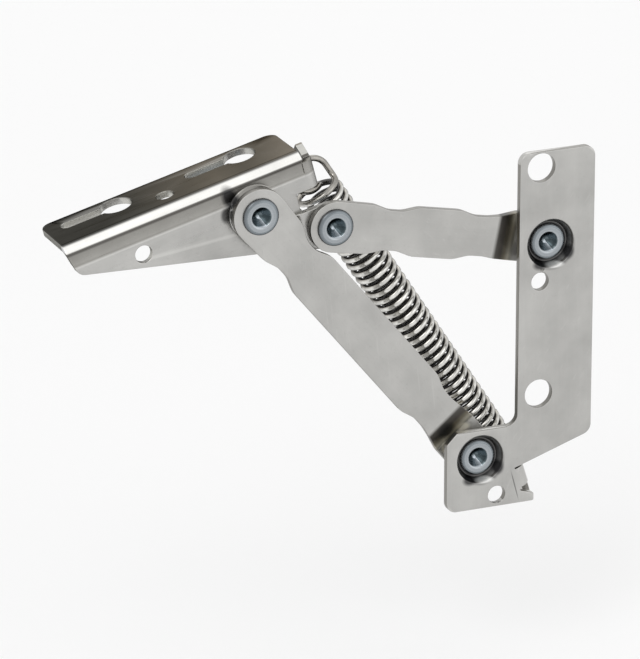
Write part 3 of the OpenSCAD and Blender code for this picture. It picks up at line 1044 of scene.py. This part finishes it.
@dataclass
class FlapStay:
    """The whole stay, built from its sub-assemblies.

    The painted reflections are placed from the pivot or the loop that they lie beside. The bracket's tilt
    at rest is in degrees. Places of tints are in millimetres: along or over the bracket from its pivot,
    or back along an arm from its wall pivot.
    """

    nickel: Colour = (0.485, 0.48, 0.463)
    zinc: Colour = (0.57, 0.595, 0.61)
    wire: Colour = (0.62, 0.61, 0.585)
    # Colours of the painted shade and the painted highlights
    shadow: Colour = (0.02, 0.02, 0.022)
    glow: Colour = (0.80, 0.80, 0.78)
    warm_glow: Colour = (0.88, 0.84, 0.72)
    navy: Colour = (0.02, 0.03, 0.13)
    bracket_tilt: float = -14.8
    flange_depth: float = 9.9
    flange_heights: tuple[float, float] = (10.4, 20.0)
    # Painted shade on the cut faces of the plate and arms, and a painted highlight on those of the
    # bracket
    cut_face_shade: Tones = ((0.0, (1.0, 1.0, 1.0)), (1.0, (0.42, 0.41, 0.39)))
    cut_face_highlight: Tones = ((0.0, (1.0, 1.0, 1.0)), (1.0, (1.25, 1.25, 1.22)))
    # Painted highlight on the bracket's bend, painted shade just under it and on the strip below, and a
    # light line at the crease, by height over the pivot
    bend_highlight_and_shade: Tones = ((3.9, (1, 1, 1)), (4.3, (1.2, 1.2, 1.2)), (4.8, (0.62, 0.61, 0.59)),
                         (5.4, (0.74, 0.73, 0.71)), (7.7, (0.60, 0.59, 0.57)),
                         (8.2, (0.16, 0.15, 0.14)), (8.6, (0.2, 0.19, 0.18)), (8.9, (2.0, 2.0, 2.0)),
                         (10.2, (2.1, 2.1, 2.1)), (10.45, (0.5, 0.5, 0.5)))
    # Painted dark reflection on the flange's top, darker at the left and warmer to the right, along the
    # bracket
    flange_reflection: Tones = ((-52.0, (0.15, 0.148, 0.14)), (-30.0, (0.18, 0.176, 0.165)),
                           (-6.0, (0.34, 0.31, 0.27)), (2.0, (0.28, 0.26, 0.23)),
                           (16.4, (0.46, 0.42, 0.37)))
    # Painted dark and warm reflections and highlights on an arm's offset bend, back from its wall pivot
    joggle_reflection: Tones = ((15.6, (1, 1, 1)), (14.6, (0.10, 0.09, 0.08)), (12.6, (0.13, 0.11, 0.09)),
                           (11.2, (0.50, 0.45, 0.34)), (10.0, (1.15, 1.1, 0.95)), (9.2, (0.8, 0.78, 0.7)),
                           (8.2, (1, 1, 1)))
    # Painted glints and shade on the rivets: dark recess, bright facets and ring, darker rim and sides
    rivet_shade_and_glints: Tones = ((0.0, (0.10, 0.13, 0.14)), (0.20, (0.28, 0.33, 0.35)),
                          (0.26, (0.42, 0.47, 0.49)), (0.30, (0.85, 0.9, 0.95)), (0.38, (0.2, 0.25, 0.3)),
                          (0.45, (0.72, 0.74, 0.76)), (0.66, (0.64, 0.66, 0.68)),
                          (0.80, (0.40, 0.43, 0.45)), (0.93, (0.20, 0.22, 0.24)),
                          (1.0, (0.06, 0.06, 0.07)))
    # Painted shade on the coil's inner side and a painted highlight on its outer crest
    wire_shade_and_highlight: Tones = ((0.0, (0.03, 0.028, 0.025)), (0.50, (0.06, 0.055, 0.05)),
                         (0.70, (0.20, 0.18, 0.15)), (0.84, (0.75, 0.73, 0.69)),
                         (0.93, (1.15, 1.15, 1.12)), (1.0, (1.25, 1.25, 1.25)))

    def dimple(self, pin: Vector) -> tuple[Patch, ...]:
        """The painted shade ring, the painted dark reflections and the painted glint in a dimple of the
        plate.

        Args:
            pin: The dimple's pivot, at any depth.

        Returns:
            The patches.
        """
        at = at_depth(pin, 0.6)
        ring = Patch(at, radii=(6.2, 5, 6.2), tint=self.shadow, strength=0.85, core=0.08, hollow=0.76)
        low = Patch(at + mm(0.5, 0, -0.9), radii=(6.9, 5, 6.9), tint=self.shadow, strength=0.6,
                    core=0.12, hollow=0.70)
        left = Patch(at + mm(-3.0, 0, -5.6), radii=(2.6, 3, 1.9), tint=self.shadow, strength=0.9)
        right = Patch(at + mm(5.3, 0, -3.0), radii=(2.0, 3, 2.5), tint=self.shadow, strength=0.9)
        glint = Patch(at + mm(1.5, 0, -6.3), radii=(3.0, 3, 1.0), tint=self.glow, strength=0.85)
        return ring, low, left, right, glint

    def joggle(self, start: Vector, end: Vector) -> Band:
        """The dark and warm reflections along the offset bend at an arm's wall end.

        Args:
            start: The pivot at the arm's free end.
            end: Its pivot on the plate.

        Returns:
            The band.
        """
        length = math.hypot(end.x - start.x, end.z - start.z)
        stops = tuple((length - back * MM, tint) for back, tint in self.joggle_reflection)
        return Band(at_depth(start), slope(start, end), Axis.ALONG, (stops[0][0], stops[-1][0]), stops)

    def bracket_bands(self) -> tuple[Band, ...]:
        """The painted dark reflection on the flange, the painted highlight on the bend and the painted
        shade on the strip under it.

        Returns:
            The bands.
        """
        at = at_depth(pivot("flap_pivot"))
        side = tuple((height * MM, tint) for height, tint in self.bend_highlight_and_shade)
        top = tuple((place * MM, tint) for place, tint in self.flange_reflection)
        low, high = self.flange_heights
        return (Band(at, self.bracket_tilt, Axis.UP, (side[0][0], side[-1][0]), side,
                     Axis.DEPTH, (0.0, self.flange_depth * MM)),
                Band(at, self.bracket_tilt, Axis.ALONG, (top[0][0], top[-1][0]), top,
                     Axis.UP, (low * MM, high * MM)))

    def boss_shade(self) -> tuple[Patch, ...]:
        """The dark reflections round the bracket's boss, beside the end of the lower arm.

        Returns:
            The patches.
        """
        at = at_depth(pivot("flap_pivot"), 5.6)
        left = Patch(at + mm(-6.9, 0, 4.6), radii=(2.6, 4.5, 4.6), tint=self.shadow, strength=0.9,
                     turn=-25)
        low = Patch(at + mm(-8.2, 0, 0.2), radii=(1.8, 4, 2.6), tint=self.shadow, strength=0.75)
        return left, low

    def arm_reflections(self, pin: Vector) -> tuple[Patch, ...]:
        """The painted dark reflection and the two painted highlights on the lower arm's bend.

        Args:
            pin: The arm's pivot on the plate.

        Returns:
            The patches.
        """
        at = at_depth(pin)
        blob = Patch(at + mm(-8.8, 3.6, 8.6), radii=(3.4, 3, 2.9), tint=self.shadow, strength=0.85)
        shine = Patch(at + mm(-3.1, 4, 8.4), radii=(2.4, 3, 1.5), tint=self.warm_glow, strength=0.9)
        spot = Patch(at + mm(-8.7, 4, 3.2), radii=(1.3, 3, 2.0), tint=self.warm_glow, strength=0.85)
        return blob, shine, spot

    def plate(self) -> None:
        """Builds the wall plate, with painted shade, reflections and glints in its dimples and the line
        scribed beside its hook tab.
        """
        upper, lower = pivot("upper_wall_pivot"), pivot("lower_wall_pivot")
        scribe = Patch(at_depth(lower) + mm(10.25, 0, -9.05), radii=(0.22, 2.5, 5.2), tint=self.shadow,
                       strength=0.6, turn=-15)
        dimple_shade_and_scribe = self.dimple(upper) + self.dimple(lower) + (scribe,)
        finish = MetalFinish("nickel_plate", self.nickel, 0.34, grain_turn=90, tones=self.cut_face_shade,
                             patches=dimple_shade_and_scribe)
        PressedSheet("wall_plate", "base", finish).build()

    def bracket(self) -> None:
        """Builds the flap bracket, with the painted dark reflection on its flange, the painted highlight
        on its bend and painted shade round its boss.
        """
        finish = MetalFinish("nickel_bracket", self.nickel, 0.30, grain_turn=self.bracket_tilt,
                             graze=0.1, tones=self.cut_face_highlight, bands=self.bracket_bands(),
                             patches=self.boss_shade())
        PressedSheet("flap_bracket", "flap_body", finish).build()

    def arm(self, name: str, start: Vector, end: Vector, patches: tuple[Patch, ...] = ()) -> None:
        """Builds one arm, with the grain along it and the painted reflections on its offset bend.

        Args:
            name: The arm's node.
            start: The pivot at its free end.
            end: Its pivot on the plate.
            patches: Reflections of its own.
        """
        finish = MetalFinish(f"nickel_{name}", self.nickel, 0.34, grain_turn=slope(start, end),
                             tones=self.cut_face_shade, bands=(self.joggle(start, end),), patches=patches)
        PressedSheet(name, f"{name}_body", finish).build()

    def sheets(self) -> None:
        """Builds the plate, the bracket and the arms."""
        lower_wall = pivot("lower_wall_pivot")
        self.plate()
        self.bracket()
        self.arm("lower_arm", pivot("flap_pivot"), lower_wall, self.arm_reflections(lower_wall))
        self.arm("upper_arm", node_centre("rivet_link"), pivot("upper_wall_pivot"))

    def rivets(self) -> None:
        """Builds the four rivets."""
        finish = MetalFinish("zinc_rivets", self.zinc, 0.26, cloud=0.08, graze=0.2,
                             tones=self.rivet_shade_and_glints)
        for node, body, place in (("rivet_upper_wall", "base", pivot("upper_wall_pivot")),
                                  ("rivet_lower_wall", "base", pivot("lower_wall_pivot")),
                                  ("rivet_flap", "lower_arm_body", pivot("flap_pivot")),
                                  ("rivet_link", "upper_arm_body", node_centre("rivet_link"))):
            Rivet(node, body, place, finish).build()

    def spring(self) -> None:
        """Builds the spring between the two hook tabs, with a blue tint left on its lower loop."""
        foot = pivot("spring_swing")
        plane = node_centre("tension_spring").y
        lower = Vector((foot.x, plane, foot.z))
        low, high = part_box("spring_upper_loop")
        outer = (TensionSpring.coil_r + TensionSpring.wire_d / 2) * MM
        upper = Vector(((low.x + high.x) / 2, plane, high.z - outer))
        dip = Patch(lower + mm(-0.5, 0, -3.4), radii=(5.6, 5, 4.6), tint=self.navy, strength=0.85,
                    core=0.25)
        finish = MetalFinish("bright_wire", self.wire, 0.16, grain_strength=0.05, cloud=0.45,
                             cloud_cells=420, scratch=0.04, bump=0.03, graze=0.4,
                             tones=self.wire_shade_and_highlight, patches=(dip,))
        TensionSpring(finish, lower, upper).build()

    def build(self) -> None:
        """Builds every sub-assembly."""
        self.sheets()
        self.rivets()
        self.spring()


def main() -> None:
    """Builds the stay and the studio."""
    logging.basicConfig(level=logging.INFO, format="%(name)s %(message)s")
    FlapStay().build()
    Studio((CAD_LOW + CAD_HIGH) / 2).build()


if __name__ == "__main__":
    main()
